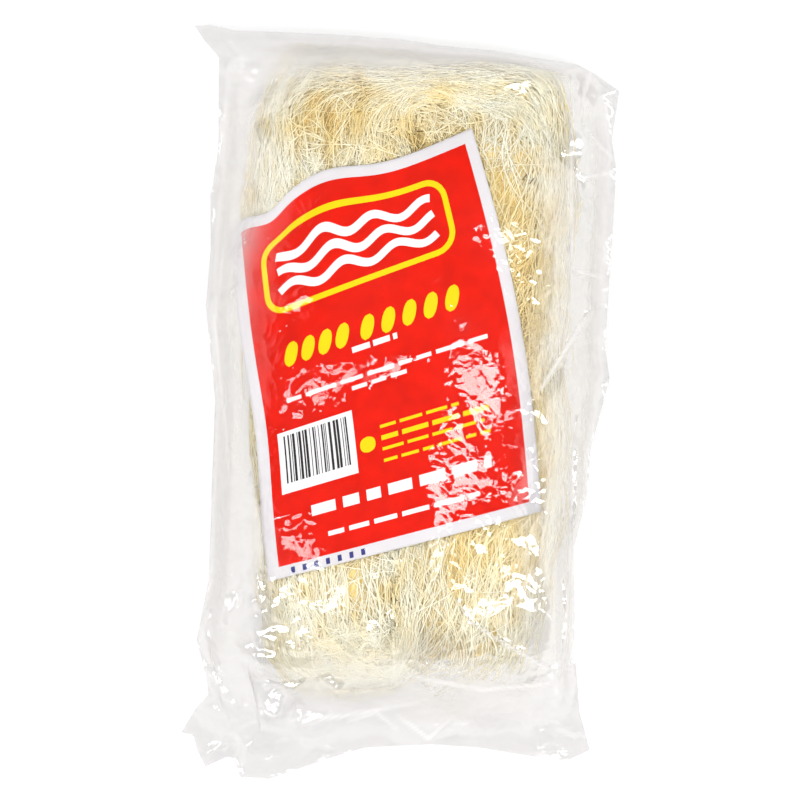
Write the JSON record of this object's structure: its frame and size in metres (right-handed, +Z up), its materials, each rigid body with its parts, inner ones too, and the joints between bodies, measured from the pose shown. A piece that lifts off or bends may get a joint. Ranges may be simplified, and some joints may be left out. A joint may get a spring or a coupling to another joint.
{
  "type": "bag of dried rice vermicelli",
  "caption": "Sealed clear film bag filled with a bundle of fine dried rice noodles, lying flat, with a tilted red paper label under the film.",
  "frame": {"origin": "under the middle of the bag's box, on the surface that the bag lies on", "axes": "+X across the bag towards its wide fin, +Y along it from the loose foot flap to the head, +Z up out of the labelled face"},
  "size_m": [0.1688, 0.294, 0.0477],
  "materials": {
    "clear_film": "clear glossy film over cream noodles",
    "label_paper": "red printed paper with a white margin"
  },
  "bodies": {
    "root": {"noodle_bag": "clear_film", "paper_label": "label_paper"}
  },
  "joints": []
}
